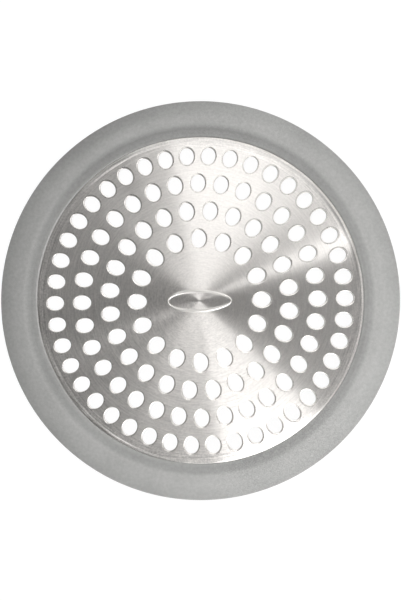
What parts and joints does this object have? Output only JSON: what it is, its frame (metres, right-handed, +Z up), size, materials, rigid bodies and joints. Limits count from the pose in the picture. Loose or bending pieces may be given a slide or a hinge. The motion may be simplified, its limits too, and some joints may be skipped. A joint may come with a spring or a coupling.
{
  "type": "drain protector",
  "caption": "Round shower drain cover: a domed steel plate with rings of oval holes, held in a flat, soft silicone rim with a sloping edge.",
  "frame": {"origin": "on the floor, under the middle of the plate", "axes": "+Z up, along the axis of the plate and the rim; +X along the long axis of the pressed oval"},
  "size_m": [0.146, 0.146, 0.0127],
  "materials": {
    "plate_steel": "fine circular brushing, satin",
    "rim_silicone": "matte, finely grained grey silicone"
  },
  "bodies": {
    "root": {"perforated_plate": "plate_steel", "silicone_rim": "rim_silicone"}
  },
  "joints": []
}
